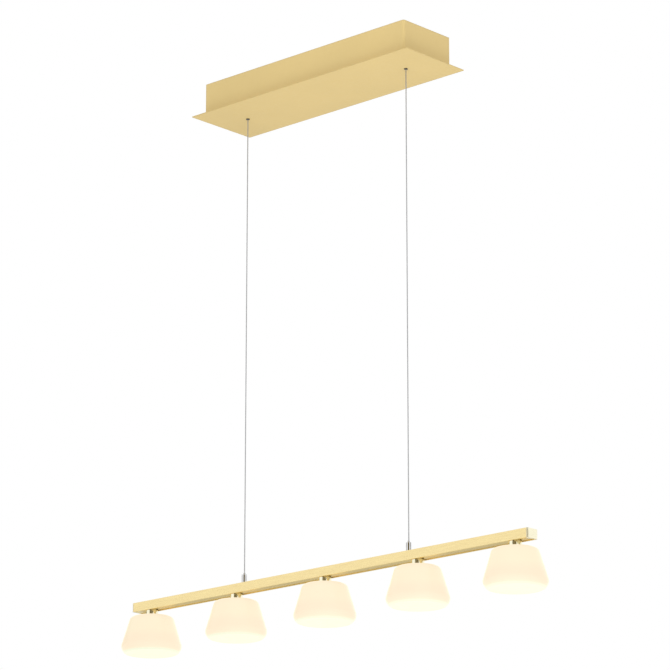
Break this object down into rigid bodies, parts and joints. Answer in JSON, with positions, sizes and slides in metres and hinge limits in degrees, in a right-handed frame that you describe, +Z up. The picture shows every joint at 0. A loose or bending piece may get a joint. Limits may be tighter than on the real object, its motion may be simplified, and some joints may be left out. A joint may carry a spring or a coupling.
{
  "type": "linear pendant light",
  "caption": "Linear pendant light: brass bar with bell-shaped opal glass shades, hung on thin cables from a long flat ceiling canopy with its driver inside.",
  "frame": {"origin": "centre of the ceiling bracket's top face, which lies on the ceiling", "axes": "+Z up to the ceiling, +X along the canopy and the bar, +Y across them"},
  "size_m": [1.0058, 0.16, 1.075],
  "materials": {
    "zinc_steel": "zinc plated, dull",
    "black_rubber": "matt",
    "white_plastic": "fine moulded texture",
    "brass_screws": "machined",
    "gold_paint": "satin gold lacquer",
    "brown_lead": "soft insulation",
    "earth_green_lead": "soft insulation with a stripe",
    "red_lead": "soft insulation",
    "black_lead": "soft insulation",
    "black_plastic": "moulded",
    "crimp_steel": "crimped",
    "cable_steel": "stranded, under a thin clear sleeve",
    "brushed_brass": "brushed lengthwise, lacquered",
    "polished_brass": "polished",
    "chrome_plate": "polished",
    "spring_steel": "bright",
    "clear_silicone": "translucent",
    "white_board": "white solder resist",
    "opal_glass": "opal, satin outside",
    "opal_diffuser": "opal",
    "cast_aluminium": "turned ribs"
  },
  "bodies": {
    "canopy": {"ceiling_bracket": "zinc_steel", "mains_grommet": "black_rubber", "terminal_block": "white_plastic", "terminal_screws": "brass_screws", "earth_screw": "brass_screws", "canopy_box": "gold_paint", "canopy_plate": "gold_paint", "canopy_nuts": "zinc_steel", "canopy_screws": "gold_paint", "led_driver": "white_plastic", "driver_input_leads": "brown_lead", "earth_lead": "earth_green_lead", "output_lead_left": "red_lead", "output_lead_right": "black_lead", "cable_bushing_left": "black_plastic", "cable_bushing_right": "black_plastic", "bushing_nuts": "zinc_steel", "cable_stop_left": "crimp_steel", "cable_stop_right": "crimp_steel"},
    "suspension": {"suspension_cable_left": "cable_steel", "suspension_cable_right": "cable_steel"},
    "luminaire": {"gripper_studs": "zinc_steel", "nipple_nuts": "zinc_steel", "hollow_nipples": "zinc_steel", "bar_harness": "black_lead", "bar_profile": "brushed_brass", "bar_cover": "brushed_brass", "end_cap_left": "polished_brass", "end_cap_right": "polished_brass", "shade_cap_1": "polished_brass", "shade_cap_2": "polished_brass", "shade_cap_3": "polished_brass", "shade_cap_4": "polished_brass", "shade_cap_5": "polished_brass", "gripper_body_left": "chrome_plate", "gripper_body_right": "chrome_plate", "gripper_spring_left": "spring_steel", "gripper_spring_right": "spring_steel", "shade_gaskets": "clear_silicone", "led_boards": "white_board", "glass_shade_1": "opal_glass", "glass_shade_2": "opal_glass", "glass_shade_3": "opal_glass", "glass_shade_4": "opal_glass", "glass_shade_5": "opal_glass", "diffuser_1": "opal_diffuser", "diffuser_2": "opal_diffuser", "diffuser_3": "opal_diffuser", "diffuser_4": "opal_diffuser", "diffuser_5": "opal_diffuser", "led_holder_1": "cast_aluminium", "led_holder_2": "cast_aluminium", "led_holder_3": "cast_aluminium", "led_holder_4": "cast_aluminium", "led_holder_5": "cast_aluminium"},
    "left_plunger": {"gripper_plunger_left": "chrome_plate", "gripper_balls_left": "spring_steel"},
    "right_plunger": {"gripper_plunger_right": "chrome_plate", "gripper_balls_right": "spring_steel"}
  },
  "joints": [
    {"name": "sway", "type": "hinge", "parent": "canopy", "child": "suspension", "pos_m": [0, 0, -0.065], "axis": [1, 0, 0], "range_deg": [-12, 12]},
    {"name": "height", "type": "slide", "parent": "suspension", "child": "luminaire", "axis": [0, 0, 1], "range_m": [0, 0.45], "deforming": ["suspension_cable_left", "suspension_cable_right"]},
    {"name": "release_left", "type": "slide", "parent": "luminaire", "child": "left_plunger", "axis": [0, 0, -1], "range_m": [0, 0.002], "stiffness_N_per_m": 600, "deforming": ["gripper_spring_left"]},
    {"name": "release_right", "type": "slide", "parent": "luminaire", "child": "right_plunger", "axis": [0, 0, -1], "range_m": [0, 0.002], "stiffness_N_per_m": 600, "deforming": ["gripper_spring_right"]}
  ]
}
